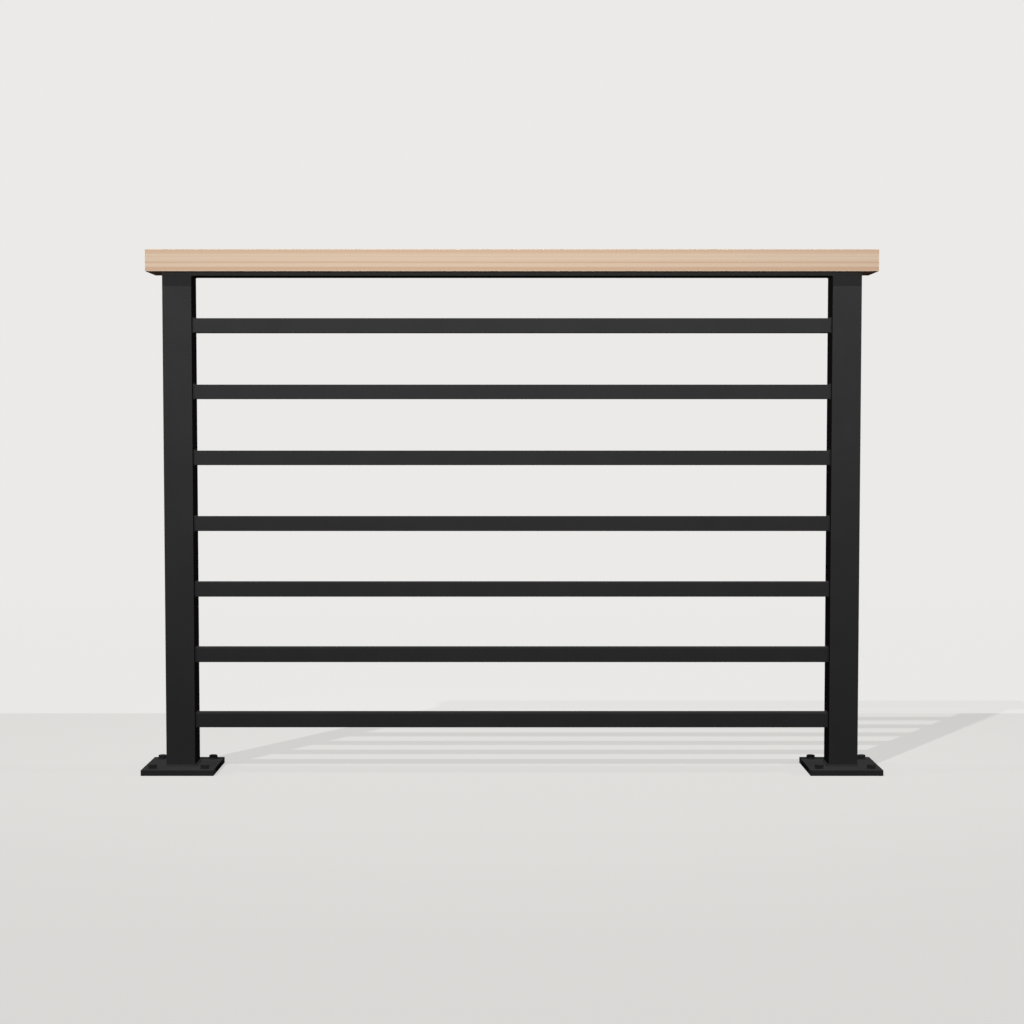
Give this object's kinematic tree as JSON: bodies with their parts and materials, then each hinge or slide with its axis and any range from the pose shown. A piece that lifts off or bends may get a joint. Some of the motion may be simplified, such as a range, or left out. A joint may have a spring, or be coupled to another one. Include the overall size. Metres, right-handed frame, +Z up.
{
  "type": "stair railing panel",
  "caption": "Level stair and landing railing: square steel posts on bolted base plates, horizontal square bars, a flat steel top rail and a wooden handrail.",
  "frame": {"origin": "on the floor, midway between the two posts, level with the undersides of the base plates", "axes": "+X along the railing to the right, +Y from the front to the back, +Z up"},
  "size_m": [1.275, 0.125, 0.9005],
  "materials": {
    "black_steel": "fine matt black powder coat on mild steel",
    "timber": "pale straight-grained hardwood with a clear satin oil"
  },
  "bodies": {
    "root": {"left_base_plate": "black_steel", "right_base_plate": "black_steel", "left_post": "black_steel", "right_post": "black_steel", "bar_1": "black_steel", "bar_2": "black_steel", "bar_3": "black_steel", "bar_4": "black_steel", "bar_5": "black_steel", "bar_6": "black_steel", "bar_7": "black_steel", "top_rail": "black_steel", "handrail": "timber"}
  },
  "joints": []
}
